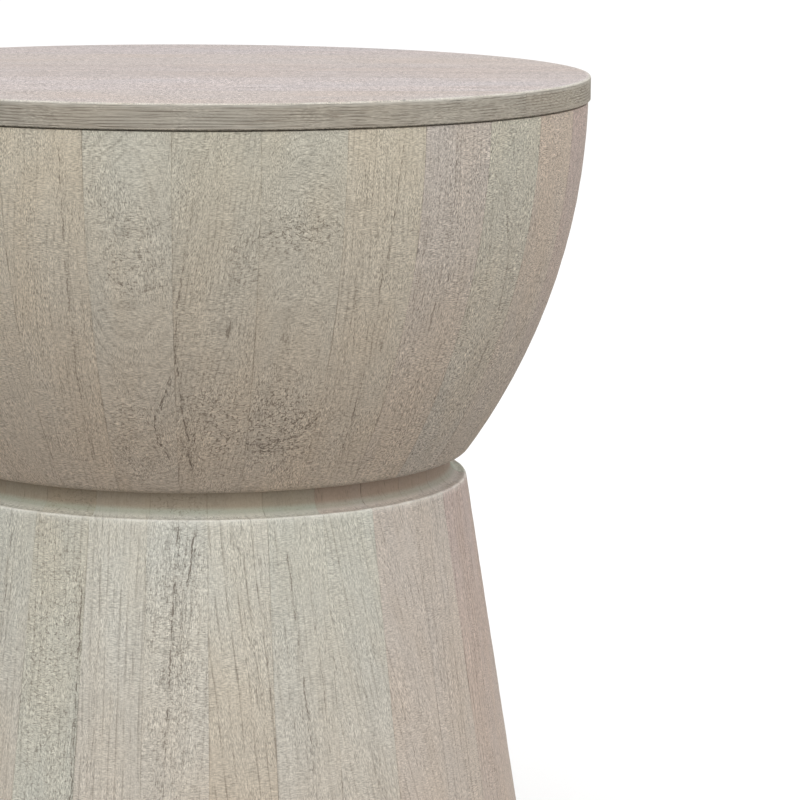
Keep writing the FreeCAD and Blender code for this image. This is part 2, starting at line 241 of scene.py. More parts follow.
def stave_pattern(name, outline, count, steps, inside, painted_light_and_shade):
    """One stave about the +X direction: outline spun through its share of the round, flat inside."""
    low, high, foot, head = inside
    share = math.tau / count
    thing = drawn_face(name, outline)
    edit_all(thing)
    bpy.ops.mesh.spin(steps=steps, angle=share, center=(0, 0, 0), axis=(0, 0, 1))
    done()
    at = spots(thing.data)
    turn = np.arctan2(at[:, 1], at[:, 0])
    middle = (turn.max() + turn.min()) / 2
    thing.data.transform(Matrix.Rotation(-middle, 4, "Z"))
    along, out = inside_line(low, high, foot, head)
    edit_all(thing)
    bpy.ops.mesh.bisect(plane_co=(low, 0, foot), plane_no=(out[0], 0, out[1]),
                        clear_inner=True, use_fill=True)
    done()
    clean(thing)

    def joint_arris(one, two):
        same = True
        for spot in (one, two):
            depth = (spot[0] - low) * out[0] + (spot[2] - foot) * out[1]
            turned = abs(abs(math.atan2(spot[1], spot[0])) - share / 2)
            same = same and turned < SAME_ANGLE and depth > ARRIS_DEPTH
        return same and one[1] * two[1] > 0

    pick_edges(thing, joint_arris)
    bpy.ops.mesh.bevel(offset=JOINT_EASE, segments=1, affect="EDGES")
    done()
    clean(thing)
    mesh = thing.data
    at = spots(mesh)
    depth = (at[:, 0] - low) * out[0] + (at[:, 2] - foot) * out[1]
    length = (at[:, 0] - low) * along[0] + (at[:, 2] - foot) * along[1]
    off_joint = np.hypot(at[:, 0], at[:, 1]) * (share / 2 - np.abs(np.arctan2(at[:, 1], at[:, 0])))
    write_attribute(mesh, "grain", "FLOAT_VECTOR", np.stack((depth, at[:, 1], length), 1))
    write_attribute(mesh, "face", "FLOAT_VECTOR", np.stack((at[:, 1], at[:, 2], np.zeros_like(depth)), 1))
    # Painted light and shade along the outline: a highlight on crisp edges, shade in the cove
    write_attribute(mesh, "painted_light_and_shade", "FLOAT", [painted_light_and_shade(math.hypot(x, y), z) for x, y, z in at])
    write_attribute(mesh, "joint", "FLOAT", off_joint)
    outside = thing.vertex_groups.new(name="outside")
    between_ends = (at[:, 2] > foot + CLEAR_OF_END) & (at[:, 2] < head - CLEAR_OF_END)
    free = np.nonzero((depth > CLEAR_OF_END) & (np.abs(off_joint) > CLEAR_OF_JOINT) & between_ends)[0]
    outside.add([int(n) for n in free], 1.0, "REPLACE")
    return thing


relief = bpy.data.textures.new("turned_relief", "CLOUDS")
relief.noise_scale = RELIEF_SIZE
relief.noise_depth = 2


def weathered(thing):
    """Small hollows and swellings of the turned and blasted surface."""
    only(thing)
    push = thing.modifiers.new("relief", "DISPLACE")
    push.texture = relief
    push.texture_coords = "LOCAL"
    push.vertex_group = "outside"
    push.strength = RELIEF_DEPTH
    push.mid_level = 0.5
    bpy.ops.object.modifier_apply(modifier=push.name)


def to_light(value):
    """One channel of a screen colour, 0 to 255, as light."""
    value /= 255
    return value / 12.92 if value <= 0.04045 else ((value + 0.055) / 1.055) ** 2.4


# Light that a wall gets back for each unit of pigment, and the whitest pigment
WALL_LIGHT = 0.77
WHITEST = 0.95


def pigment(colour):
    return [min(to_light(channel) / WALL_LIGHT, WHITEST) for channel in colour]


LINE_FADE = 6 * MM
TORN_NAP = 0.3


def off_line(places, points):
    """Signed distance of each place from a drawn line, and a share that fades past the line's ends."""
    nearest = np.ones(len(places))
    past = np.zeros(len(places))
    last = len(points) - 2
    for number, (start, end) in enumerate(zip(points, points[1:])):
        step = end - start
        length = np.hypot(*step)
        share = (places - start) @ step / length
        held = np.clip(share, -np.inf if number == 0 else 0, np.inf if number == last else length)
        away = places - start - held[:, None] * step / length
        gap = np.hypot(away[:, 0], away[:, 1])
        side = np.where(step[0] * away[:, 1] > step[1] * away[:, 0], 1, -1)
        closer = gap < np.abs(nearest)
        nearest = np.where(closer, gap * side, nearest)
        past = np.where(closer, np.maximum(np.maximum(-held, held - length), 0), past)
    return nearest, np.clip(1 - past / LINE_FADE, 0, 1)


def mark_wood(mesh, look, places):
    """Rings, nap, torn patches, knot and dark lines of one piece. places holds across and height."""
    count = len(mesh.vertices)
    write_attribute(mesh, "rings", "FLOAT", np.full(count, 1 / (look["ring"] * MM)))
    torn = np.zeros(count)
    for across, height, half_width, half_height, gain in look.get("torn", ()):
        from_patch = (places / MM - (across, height)) / (half_width, half_height)
        torn += gain * np.exp(-(from_patch ** 2).sum(1))
    write_attribute(mesh, "torn", "FLOAT", torn)
    write_attribute(mesh, "nap", "FLOAT", look.get("nap", 1.0) + TORN_NAP * torn)
    knot = np.array(look.get("knot", (0, 0, 0))) * MM
    write_attribute(mesh, "knot", "FLOAT_VECTOR", np.tile(knot, (count, 1)))
    off, strength = np.ones((count, 3)), np.zeros((count, 3))
    for number, (depth, points) in enumerate(look.get("lines", ())):
        points = np.array(points) * MM
        off[:, number], reach = off_line(places, points)
        if isinstance(depth, tuple):
            depth = np.interp(places[:, 1], (points[-1, 1], points[0, 1]), depth[::-1])
        strength[:, number] = depth * reach
    write_attribute(mesh, "line_off", "FLOAT_VECTOR", off)
    write_attribute(mesh, "line_strength", "FLOAT_VECTOR", strength)


def stave(pattern, name, turn, look, heights):
    """A stave set at its place in the round, with its own wood."""
    thing = copy_of(pattern, name)
    mesh = thing.data
    mark_wood(mesh, look, spots(mesh)[:, 1:])
    mesh.transform(Matrix.Rotation(FRONT + turn, 4, "Z"))
    grain = mesh.attributes["grain"].data
    values = np.empty(len(grain) * 3, dtype=np.float32)
    grain.foreach_get("vector", values)
    values = values.reshape(-1, 3)
    middle = (heights[1] - heights[0]) / 2
    values[:, 0] += look["pith"][0] * MM + look["pith"][2] * (values[:, 2] - middle)
    values[:, 1] += look["pith"][1] * MM + look["slant"] * (values[:, 2] - middle)
    values[:, 2] += look["length"]
    grain.foreach_set("vector", values.ravel())
    height = (spots(mesh)[:, 2] - heights[0]) / (heights[1] - heights[0])
    head, foot, cove = (np.array(pigment(look[part])) for part in ("head", "foot", "cove"))
    tint = np.where(height[:, None] > 1, cove, foot + (head - foot) * height[:, None])
    figure = np.full(len(tint), look["figure"])
    write_attribute(mesh, "tint", "FLOAT_COLOR", np.column_stack((tint, figure)))
    weathered(thing)
    return thing


# Bowl staves
chord = (RIM_RADIUS - BOWL_LOW_RADIUS, RIM - RIM_EASE_DROP - WAIST)
half_chord = math.hypot(*chord) / 2
rise = math.sqrt(FLANK_ARC ** 2 - half_chord ** 2) / (2 * half_chord)
flank_centre = (BOWL_LOW_RADIUS + chord[0] / 2 - chord[1] * rise,
                WAIST + chord[1] / 2 + chord[0] * rise)
round_height = WAIST + BOWL_ROUND
round_reach = math.sqrt((FLANK_ARC - BOWL_ROUND) ** 2 - (round_height - flank_centre[1]) ** 2)
round_centre = (flank_centre[0] + round_reach, round_height)
flank_low = math.atan2(round_centre[1] - flank_centre[1], round_centre[0] - flank_centre[0])
flank_high = math.atan2(RIM - RIM_EASE_DROP - flank_centre[1], RIM_RADIUS - flank_centre[0])
bowl_outline = [(BOWL_INSIDE_LOW * SPARE_INSIDE, WAIST), (BOWL_INSIDE_LOW, WAIST)]
bowl_outline += arc(round_centre, BOWL_ROUND, -math.pi / 2, flank_low, BOWL_ROUND_POINTS)
bowl_outline += arc(flank_centre, FLANK_ARC, flank_low, flank_high, FLANK_POINTS)[1:]
bowl_outline += [(RIM_RADIUS - RIM_EASE_WIDTH, RIM), (BOWL_INSIDE_HIGH * SPARE_INSIDE, RIM)]


def bowl_painted_light(radius, height):
    """The lid covers the rim, so the bowl gets no painted highlight and no painted shade."""
    return 0


bowl_pattern = stave_pattern("bowl_stave", bowl_outline, BOWL_STAVES, BOWL_FACETS,
                             (BOWL_INSIDE_LOW, BOWL_INSIDE_HIGH, WAIST, RIM), bowl_painted_light)

# Base staves
lean = math.atan2(SHOULDER_RADIUS - FOOT_RADIUS, SHOULDER - FOOT)
corner = SHOULDER_ROUND * math.tan((math.pi / 2 + lean) / 2)
crest_centre = (SHOULDER_RADIUS - corner, SHOULDER - SHOULDER_ROUND)
base_outline = [(BASE_INSIDE_LOW * SPARE_INSIDE, FOOT), (BASE_INSIDE_LOW, FOOT),
                (FOOT_RADIUS - FOOT_EASE, FOOT)]
cone_top = (SHOULDER_RADIUS + SHOULDER_EDGE * math.tan(-lean), SHOULDER - SHOULDER_EDGE)
base_outline += line((FOOT_RADIUS, FOOT + FOOT_EASE), cone_top, CONE_POINTS)
base_outline += arc(crest_centre, SHOULDER_ROUND, -lean, math.pi / 2, CREST_POINTS)
cove_centre = (NECK_RADIUS + COVE, SHOULDER + COVE)
base_outline += arc(cove_centre, COVE, -math.pi / 2, -math.pi, COVE_POINTS)
base_outline += [(NECK_RADIUS, WAIST), (BASE_INSIDE_HIGH * SPARE_INSIDE, WAIST)]


def base_painted_light(radius, height):
    """1 on the crisp edge under the cove, where a highlight is painted; below 0 up in the cove, where
    shade is painted, deeper towards the bowl.
    """
    if height > SHOULDER + COVE_START:
        return -((height - SHOULDER) / (WAIST - SHOULDER))
    return max(0, 1 - math.hypot(radius - SHOULDER_RADIUS, height - SHOULDER) / SHOULDER_HIGHLIGHT_REACH)


base_pattern = stave_pattern("base_stave", base_outline, BASE_STAVES, BASE_FACETS,
                             (BASE_INSIDE_LOW, BASE_INSIDE_HIGH, FOOT, WAIST), base_painted_light)

# Tints that the whitewash takes on different boards
WASHES = {"straw": (181, 173, 157), "cool": (180, 176, 163), "dun": (171, 157, 142),
          "pale": (186, 184, 174), "grey": (179, 178, 168), "blush": (176, 167, 158),
          "sand": (177, 164, 151), "ash": (175, 170, 156), "clay": (172, 156, 148),
          "honey": (168, 147, 124), "smoke": (166, 155, 143)}

# The wood of the staves in front, in millimetres across from the middle and up from the floor
BOWL_LOOKS = {
    28: {"head": "straw"},
    29: {"head": "straw", "pith": (-10, 90, 0), "figure": 0.8, "ring": 4.0,
         "lines": [(0.7, [(11, 480), (11, 420), (9, 356), (7, 310)])]},
    30: {"head": "cool", "pith": (-125, -4, 0.146), "figure": 0.6, "ring": 1.6,
         "torn": [(0, 425, 22, 30, 0.3), (-5, 330, 18, 28, 0.25)],
         "lines": [(1.2, [(17, 355), (11, 341), (7.5, 331), (8.5, 321), (12, 313)]),
                   (0.5, [(-12, 417), (-6.5, 412), (1.5, 407), (10.5, 408), (21, 411)]),
                   (0.5, [(-14, 454), (-8, 448), (-1, 442), (6.5, 440), (14, 442), (22, 447)])]},
    1: {"head": "ash", "knot": (7.5, 386, 2.1), "pith": (-20, -80, 0), "ring": 3.0,
        "figure": 0.8, "slant": -0.15,
        "lines": [((0.35, 1.15), [(-7, 475), (-13, 451), (-17, 425), (-20.5, 391), (-20.6, 370),
                                  (-18, 350), (-14, 325), (-11, 307)]),
                  (0.4, [(23, 438), (14, 428), (9, 418), (4.5, 401), (6, 388)]),
                  (0.45, [(-4, 334), (4, 328), (12.5, 321.7), (18, 318.6), (24, 316)])],
        "torn": [(4, 330, 24, 34, 0.45), (15, 425, 10, 25, 0.3)]},
    2: {"head": "ash", "knot": (-5, 380, 2.2), "pith": (-90, 0, -0.1), "ring": 1.8,
        "lines": [(0.5, [(-22, 437), (-10, 442), (4, 440), (18, 442)]),
                  (0.95, [(-22, 320), (-9.5, 316.4), (2.7, 320.7), (11, 322.7), (16.7, 329.6),
                          (21, 336)]),
                  (0.8, [(-22, 316), (-4.6, 313.7), (15, 315.7), (22, 314)])],
        "torn": [(-2, 330, 24, 25, 0.65), (0, 440, 24, 14, 0.4)]},
    3: {"head": "straw", "knot": (9, 373, 1.8), "pith": (-15, 100, 0), "ring": 3.5,
        "figure": 0.9, "slant": 0.05, "torn": [(-8, 320, 14, 25, 0.25)],
        "lines": [(0.7, [(10, 488), (6, 450), (3, 411), (1.5, 305)]), (0.4, [(-13, 478), (-12, 350)])]},
    4: {"head": "blush", "pith": (-15, -90, 0), "figure": 0.9, "ring": 3.2, "nap": 1.3,
        "lines": [(0.6, [(-2, 486), (-3, 420), (-4, 380)]), (0.5, [(-19, 440), (-18, 378)])]},
    5: {"head": "ash", "foot": "smoke", "figure": 0.4, "nap": 1.45,
        "lines": [(0.3, [(-19, 465), (-5, 451), (8, 431), (16, 408), (16, 391), (11, 371), (0, 348),
                         (-14, 328)]),
                  (0.7, [(-9, 455), (-3, 440), (1, 429), (8, 408), (9, 391), (11, 377), (10, 362),
                         (8, 345)]),
                  (0.5, [(-18, 447), (-15, 430), (-12, 410), (-8, 393)])]},
    6: {"head": "sand", "foot": "smoke", "pith": (-20, 70, 0), "figure": 0.7, "ring": 4.0, "nap": 1.5},
    7: {"head": "clay", "foot": "smoke", "nap": 1.4},
}
BASE_LOOKS = {
    27: {"head": "grey"},
    28: {"head": "cool", "foot": "grey", "slant": 0.03, "nap": 1.1, "torn": [(0, 190, 25, 110, 0.3)],
         "lines": [(1.0, [(15.5, 240), (16, 205), (17, 150), (19, 60)])]},
    29: {"head": "pale", "slant": 0.0},
    30: {"head": "pale", "slant": -0.045, "nap": 1.1, "torn": [(0, 200, 20, 110, 0.25)],
         "lines": [((1.2, 0.4), [(0.6, 268), (-1.4, 235), (-3.6, 185), (-7.3, 130), (-9, 60)]),
                   ((1.3, 0.4), [(9.5, 264), (7.7, 248), (5.2, 238), (3.5, 221), (2.4, 190)])]},
    1: {"head": "pale", "foot": "honey", "slant": 0.08,
        "lines": [(0.4, [(-3, 248), (5.3, 208), (9, 170)]), (0.5, [(11, 255), (15, 205), (17, 150)])]},
    2: {"head": "grey", "slant": 0.05,
        "lines": [(0.75, [(-6.2, 252), (-2.6, 211), (-0.6, 181), (1.5, 155), (2.2, 130), (3, 60)]),
                  (0.5, [(7.2, 242), (11.4, 165)])]},
    3: {"head": "grey", "cove": "blush", "slant": 0.14,
        "lines": [(0.35, [(-14, 261), (-8, 191), (2, 151), (7, 110)]),
                  (0.35, [(-9, 248), (-1, 181), (7, 135)])]},
    4: {"head": "blush", "slant": 0.18,
        "lines": [(0.4, [(-9, 218), (2.4, 171), (9, 130)])]},
    5: {"head": "blush", "slant": 0.0},
    6: {"head": "clay", "cove": "blush"},
    7: {"head": "clay", "cove": "blush"},
}

# Washes of head and foot that the other staves draw from, the usual one first
BOWL_WASH = (("straw", "straw", "cool", "ash", "blush", "sand"), ("dun", "dun", "smoke"))
BASE_WASH = (("grey", "pale", "ash", "blush"), ("sand", "sand", "blush", "straw"))
wash_dice = random.Random(58)

# Each stave's own stretch of grain, in metres
PLANK_LENGTH = 1.37
BASE_PLANKS_FROM = 40

# How far from the middle a dark line starts on the other staves, in millimetres
LINE_REACH = 16


def grain_line(low, high):
    """A dark line that strays a little from straight, for a stave at the sides or the back."""
    start = dice.uniform(-LINE_REACH, LINE_REACH)
    heights = np.linspace(dice.uniform(low, (low + high) / 2), high, 4)
    return dice.uniform(0.25, 0.6), [(start + dice.uniform(-3, 3) * number, height)
                                    for number, height in enumerate(heights)]


def wood_look(known, wash, number, heights):
    """What is known of a stave, filled up with a draw. wash names the tints of head and foot."""
    head, foot = (WASHES[wash_dice.choice(names)] for names in wash)
    shift = dice.uniform(-5, 5)
    low, high = heights[0] / MM, heights[1] / MM
    look = {"head": tuple(channel + shift + dice.uniform(-2, 2) for channel in head),
            "foot": tuple(channel + shift for channel in foot),
            "pith": (dice.uniform(-110, -20), dice.uniform(-40, 40), dice.uniform(-0.1, 0.1)),
            "ring": dice.uniform(1.6, 4.2), "figure": dice.uniform(0.3, 0.8),
            "slant": dice.uniform(-0.06, 0.06),
            "length": number * PLANK_LENGTH + dice.uniform(0, 0.5),
            "lines": [grain_line(low, high) for _ in range(dice.choice((0, 1, 2)))]}
    look.update(known)
    if known:
        look["head"], look["foot"] = WASHES[known["head"]], WASHES[known.get("foot", wash[1][0])]
    look["cove"] = WASHES[known["cove"]] if "cove" in known else look["head"]
    return look


pieces = {}
for number in range(1, BOWL_STAVES + 1):
    look = wood_look(BOWL_LOOKS.get(number, {}), BOWL_WASH, number, (WAIST, RIM))
    turn = BOWL_FIRST_JOINT + (number - 0.5) * math.tau / BOWL_STAVES
    node = "bowl_stave_%02d" % number
    name = node + "_wood"
    pieces[name] = stave(bowl_pattern, name, turn, look, (WAIST, RIM))
    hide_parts(node)
for number in range(1, BASE_STAVES + 1):
    look = wood_look(BASE_LOOKS.get(number, {}), BASE_WASH, number + BASE_PLANKS_FROM,
                     (FOOT, SHOULDER))
    look.update(pith=(dice.uniform(-30, 30), dice.choice((-1, 1)) * dice.uniform(60, 160),
                      dice.uniform(-0.03, 0.03)),
                ring=dice.uniform(3.0, 6.0))
    turn = BASE_FIRST_JOINT + (number - 0.5) * math.tau / BASE_STAVES
    name = "base_stave_%02d_wood" % number
    pieces[name] = stave(base_pattern, name, turn, look, (FOOT, SHOULDER))
    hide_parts("base_stave_pair_%02d" % ((number + 1) // 2))
drop(bowl_pattern)
drop(base_pattern)

# Lid: one turned panel, sawn into its boards, with a painted highlight along its upper arris
LID_TOP_TINTS = ((174, 164, 159), (176, 167, 165), (172, 162, 158), (175, 165, 160), (172, 163, 161))
LID_EDGE_TINT = (158, 151, 139)
LID_FIGURE = 0.5
LID_PLANK = 2.3
LID_HIGHLIGHT, LID_HIGHLIGHT_NEAR, LID_HIGHLIGHT_FAR = 0.65, 0.45 * MM, 1.95 * MM
LID_HIGHLIGHT_REACH = 2 * MM
ON_TOP = LID_TOP - 0.05 * MM
FACING_UP = 0.99
board_width = 2 * (LID_RADIUS + LID_WASTE) / LID_BOARDS
bpy.ops.object.select_all(action="DESELECT")
bpy.ops.mesh.primitive_circle_add(vertices=LID_FACETS, radius=LID_RADIUS, fill_type="NGON",
                                  location=(0, 0, RIM))
panel = bpy.context.object
bpy.ops.object.transform_apply(location=True, rotation=True, scale=True)
edit_all(panel)
bpy.ops.mesh.extrude_region_move(TRANSFORM_OT_translate={"value": (0, 0, LID_TOP - RIM)})
done()
clean(panel)
for height, width, segments in ((LID_TOP, LID_TOP_ROUND, LID_ROUND_FACETS),
                                (RIM, LID_UNDER_EASE, LID_EASE_FACETS)):
    pick_edges(panel, lambda one, two, at=height: abs(one[2] - at) + abs(two[2] - at) < SAME_PLACE)
    bpy.ops.mesh.bevel(offset=width, segments=segments, affect="EDGES")
    done()
# A ring of faces inside the top arris, over which the painted highlight fades
edit_all(panel, "FACE")
bpy.ops.mesh.bisect(plane_co=(0, 0, LID_TOP - LID_TOP_ROUND - LID_HIGHLIGHT_REACH), plane_no=(0, 0, 1))
done()
for face in panel.data.polygons:
    face.select = face.normal.z > FACING_UP and face.center.z > ON_TOP
edit(panel, "FACE")
bpy.ops.mesh.inset(thickness=LID_HIGHLIGHT_REACH)
done()
for number in range(1, LID_BOARDS + 1):
    name = "lid_board_%d" % number
    board = copy_of(panel, name + "_wood")
    middle = (number - (LID_BOARDS + 1) / 2) * board_width
    for side in (-1, 1):
        edit_all(board)
        bpy.ops.mesh.bisect(plane_co=(0, middle + side * board_width / 2, 0), plane_no=(0, side, 0),
                            clear_outer=True, use_fill=True)
        done()
    clean(board)
    at = spots(board.data)
    pith = (dice.uniform(-70, -30) * MM, dice.uniform(-30, 30) * MM)
    write_attribute(board.data, "face", "FLOAT_VECTOR", np.stack((at[:, 1], at[:, 0], at[:, 2]), 1))
    mark_wood(board.data, {"ring": dice.uniform(1.8, 3.2)}, at[:, :2])
    grain = (at[:, 2] - RIM + pith[0], at[:, 1] - middle + pith[1], at[:, 0] + number * LID_PLANK)
    write_attribute(board.data, "grain", "FLOAT_VECTOR", np.stack(grain, 1))
    # Painted highlight on the upper arris, fading within about two millimetres
    arris = np.hypot(np.hypot(at[:, 0], at[:, 1]) - LID_RADIUS, at[:, 2] - LID_TOP)
    lid_highlight = LID_HIGHLIGHT * np.interp(arris, (LID_HIGHLIGHT_NEAR, LID_HIGHLIGHT_FAR), (1, 0))
    write_attribute(board.data, "painted_light_and_shade", "FLOAT", lid_highlight)
    write_attribute(board.data, "joint", "FLOAT", board_width / 2 - np.abs(at[:, 1] - middle))
    upper = (at[:, 2] > ON_TOP)[:, None]
    tint = np.where(upper, [*pigment(LID_TOP_TINTS[number - 1]), LID_FIGURE],
                    [*pigment(LID_EDGE_TINT), LID_FIGURE])
    write_attribute(board.data, "tint", "FLOAT_COLOR", tint)
    pieces[name + "_wood"] = board
    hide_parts(name)
drop(panel)


# Materials
def add(tree, kind, inputs=None, **settings):
    made = tree.nodes.new(kind)
    for key, setting in settings.items():
        setattr(made, key, setting)
    for key, given in (inputs or {}).items():
        if isinstance(given, bpy.types.NodeSocket):
            tree.links.new(given, made.inputs[key])
        else:
            made.inputs[key].default_value = given
    return made


def sum_of(tree, operation, *given):
    """One step of arithmetic."""
    return add(tree, "ShaderNodeMath", dict(enumerate(given)), operation=operation).outputs[0]


def stretched(tree, vector, scale):
    return add(tree, "ShaderNodeVectorMath", {0: vector, 1: scale}, operation="MULTIPLY").outputs[0]


def noise(tree, vector, scale, detail=2.0):
    """Noise from 0 to 1, with a scale for each direction, in spots per metre."""
    made = add(tree, "ShaderNodeTexNoise",
               {"Vector": stretched(tree, vector, scale), "Scale": 1.0, "Detail": detail})
    return made.outputs["Fac"]


def between(tree, amount, low, high, start=0.0, end=1.0):
    """A smooth step from start to end as the amount goes from low to high."""
    made = add(tree, "ShaderNodeMapRange",
               {"Value": amount, "From Min": low, "From Max": high, "To Min": start, "To Max": end},
               interpolation_type="SMOOTHSTEP")
    return made.outputs["Result"]


def blended(tree, share, one, two, kind="MIX"):
    made = add(tree, "ShaderNodeMix", {"Factor": share, "A": one, "B": two},
               data_type="RGBA", blend_type=kind)
    return made.outputs["Result"]


def grey(tree, amount):
    return add(tree, "ShaderNodeCombineColor", {channel: amount for channel in range(3)}).outputs[0]


def mark(tree, name, output="Fac"):
    """A measure that is written on the mesh."""
    return add(tree, "ShaderNodeAttribute", attribute_name=name).outputs[output]


def in_place(tree):
    return add(tree, "ShaderNodeTexCoord").outputs["Object"]


def raise_grain(tree, skin, height, strength, distance):
    bump = add(tree, "ShaderNodeBump", {"Height": height, "Strength": strength, "Distance": distance})
    tree.links.new(bump.outputs["Normal"], skin.inputs["Normal"])


def new_group(name, inputs, outputs):
    tree = bpy.data.node_groups.new(name, "ShaderNodeTree")
    for label, kind, default in inputs:
        socket = tree.interface.new_socket(label, in_out="INPUT", socket_type=kind)
        if default is not None:
            socket.default_value = default
    for label, kind in outputs:
        tree.interface.new_socket(label, in_out="OUTPUT", socket_type=kind)
    return tree, tree.nodes.new("NodeGroupInput").outputs, tree.nodes.new("NodeGroupOutput").inputs


FLOAT, VECTOR = "NodeSocketFloat", "NodeSocketVector"

# Lines drawn in the wood: where they fade out, where they are full, and how far they stray
RING_LINE = 1.1 * MM
DARK_LINE, DARK_LINE_HEART = 0.7 * MM, 0.1 * MM
# How far to one side of a dark line its painted highlight sits, where it fades out and where it is full
LIP_HIGHLIGHT_OFF, LIP_HIGHLIGHT_EDGE, LIP_HIGHLIGHT_HEART = 1.2 * MM, 0.7 * MM, 0.2 * MM
BESIDE_EDGE, BESIDE_HEART, BESIDE_LINES = 6.5 * MM, 1.5 * MM, 420
SEAM_EDGE, SEAM_HEART = 0.6 * MM, 0.1 * MM
GRAIN_STRAY, FIBRE_STRAY, KNOT_STRAY = 12 * MM, 1.5 * MM, 6 * MM
LINE_STRAY, LINE_SHIVER = 3 * MM, 2.2 * MM

# A knot is drawn taller than wide, and pushes the rings aside
KNOT_SQUEEZE, KNOT_FADE, KNOT_PUSH, KNOT_LEAST = 0.42, -0.16, 0.9, 0.1 * MM

# Bare blasted wood: growth rings, dark lines, a knot, torn grain, and the nap that blasting leaves
wood, given, result = new_group(
    "blasted wood",
    (("Place", VECTOR, None), ("Face", VECTOR, None), ("Rings", FLOAT, 250), ("Figure", FLOAT, 0.5),
     ("Fibre", FLOAT, 0.5), ("Fuzz", FLOAT, 0.5), ("Hatch", FLOAT, 0.3), ("Lines", FLOAT, 0.5),
     ("Pores", FLOAT, 0.3), ("Patchy", FLOAT, 0.75), ("Waver", FLOAT, 1.0), ("Nap", FLOAT, 1.0),
     ("Torn", FLOAT, 0.0), ("Line off", VECTOR, (1, 1, 1)), ("Line strength", VECTOR, None),
     ("Knot", VECTOR, None)),
    (("Shade", FLOAT), ("Dark", FLOAT), ("Warmth", FLOAT), ("Height", FLOAT)))
place = given["Place"]


def pushed(vector, scale, size):
    """A place moved about by noise, so that lines drawn through it waver."""
    drift = add(wood, "ShaderNodeTexNoise",
                {"Vector": stretched(wood, vector, scale), "Scale": 1.0, "Detail": 2.0}).outputs["Color"]
    drift = add(wood, "ShaderNodeVectorMath", {0: drift, 1: (0.5, 0.5, 0.5)},
                operation="SUBTRACT").outputs[0]
    drift = add(wood, "ShaderNodeVectorMath", {0: drift, "Scale": size}, operation="SCALE").outputs[0]
    return add(wood, "ShaderNodeVectorMath", {0: drift, 1: vector}, operation="ADD").outputs[0]


def times(*parts):
    made = parts[0]
    for part in parts[1:]:
        made = sum_of(wood, "MULTIPLY", made, part)
    return made


def total(*parts):
    made = parts[0]
    for part in parts[1:]:
        made = sum_of(wood, "ADD", made, part)
    return made


def swing(amount, size):
    """An amount from 0 to 1 as a swing to both sides of nothing."""
    return sum_of(wood, "MULTIPLY", sum_of(wood, "SUBTRACT", amount, 0.5), size)


bent = pushed(place, (24, 24, 9), times(given["Waver"], GRAIN_STRAY))
wavy = pushed(place, (300, 300, 300), FIBRE_STRAY)

# A knot: how far a place is from its middle, in knot sizes, and how it parts the fibres
knot = add(wood, "ShaderNodeSeparateXYZ", {0: given["Knot"]}).outputs
face = add(wood, "ShaderNodeSeparateXYZ", {0: pushed(given["Face"], (90, 90, 90), KNOT_STRAY)}).outputs
aside = sum_of(wood, "SUBTRACT", face[0], knot[0])
above = times(sum_of(wood, "SUBTRACT", face[1], knot[1]), KNOT_SQUEEZE)
away = sum_of(wood, "SQRT", total(times(aside, aside), times(above, above)))
near = sum_of(wood, "DIVIDE", away, sum_of(wood, "MAXIMUM", knot[2], KNOT_LEAST))
parted = sum_of(wood, "EXPONENT", times(near, near, KNOT_FADE))
flecks = between(wood, noise(wood, wavy, (900, 900, 420), 1), 0.4, 0.54)
heart = times(between(wood, near, 1.15, 0.4), flecks)

# Growth rings round the pith, drawn as thin broken lines
across = add(wood, "ShaderNodeVectorMath", {0: stretched(wood, bent, (1, 1, 0))},
             operation="LENGTH").outputs["Value"]
across = total(across, times(parted, knot[2], KNOT_PUSH))
ring = sum_of(wood, "FRACT", times(across, given["Rings"]))
to_next = sum_of(wood, "SUBTRACT", 1.0, ring)
line_widths = sum_of(wood, "DIVIDE", to_next, times(given["Rings"], RING_LINE))
widths_off = sum_of(wood, "MAXIMUM", line_widths, times(to_next, 2.9))
late = between(wood, widths_off, 1.0, 0.27)
broken = between(wood, noise(wood, place, (150, 150, 45), 2), 0.36, 0.6)
late = times(late, broken, given["Figure"])

# Dark lines along the grain, each with a painted highlight along one side, as on a groove's lip lit from
# above, and fainter lines beside it, broken up into pores
offs = add(wood, "ShaderNodeSeparateXYZ", {0: given["Line off"]}).outputs
strengths = add(wood, "ShaderNodeSeparateXYZ", {0: given["Line strength"]}).outputs
stray = total(swing(noise(wood, given["Face"], (60, 60, 35), 2), LINE_STRAY),
              swing(noise(wood, given["Face"], (420, 420, 420), 1), LINE_SHIVER))
drawn, lip_highlights = [], []
for part, strength in zip(offs, strengths):
    off = total(part, stray)
    far = sum_of(wood, "ABSOLUTE", off)
    beat = sum_of(wood, "FRACT", times(off, BESIDE_LINES))
    beat = sum_of(wood, "ABSOLUTE", sum_of(wood, "SUBTRACT", beat, 0.5))
    beside = times(between(wood, beat, 0.2, 0.05), between(wood, far, BESIDE_EDGE, BESIDE_HEART), 0.5)
    drawn.append(times(total(between(wood, far, DARK_LINE, DARK_LINE_HEART), beside), strength))
    from_lip_highlight = sum_of(wood, "ABSOLUTE", total(off, LIP_HIGHLIGHT_OFF))
    lip_highlights.append(times(between(wood, from_lip_highlight, LIP_HIGHLIGHT_EDGE, LIP_HIGHLIGHT_HEART), strength))
gaps = between(wood, noise(wood, place, (700, 700, 130), 2), 0.38, 0.59)
split = times(total(*drawn), gaps)
lip_highlight = times(total(*lip_highlights), gaps)

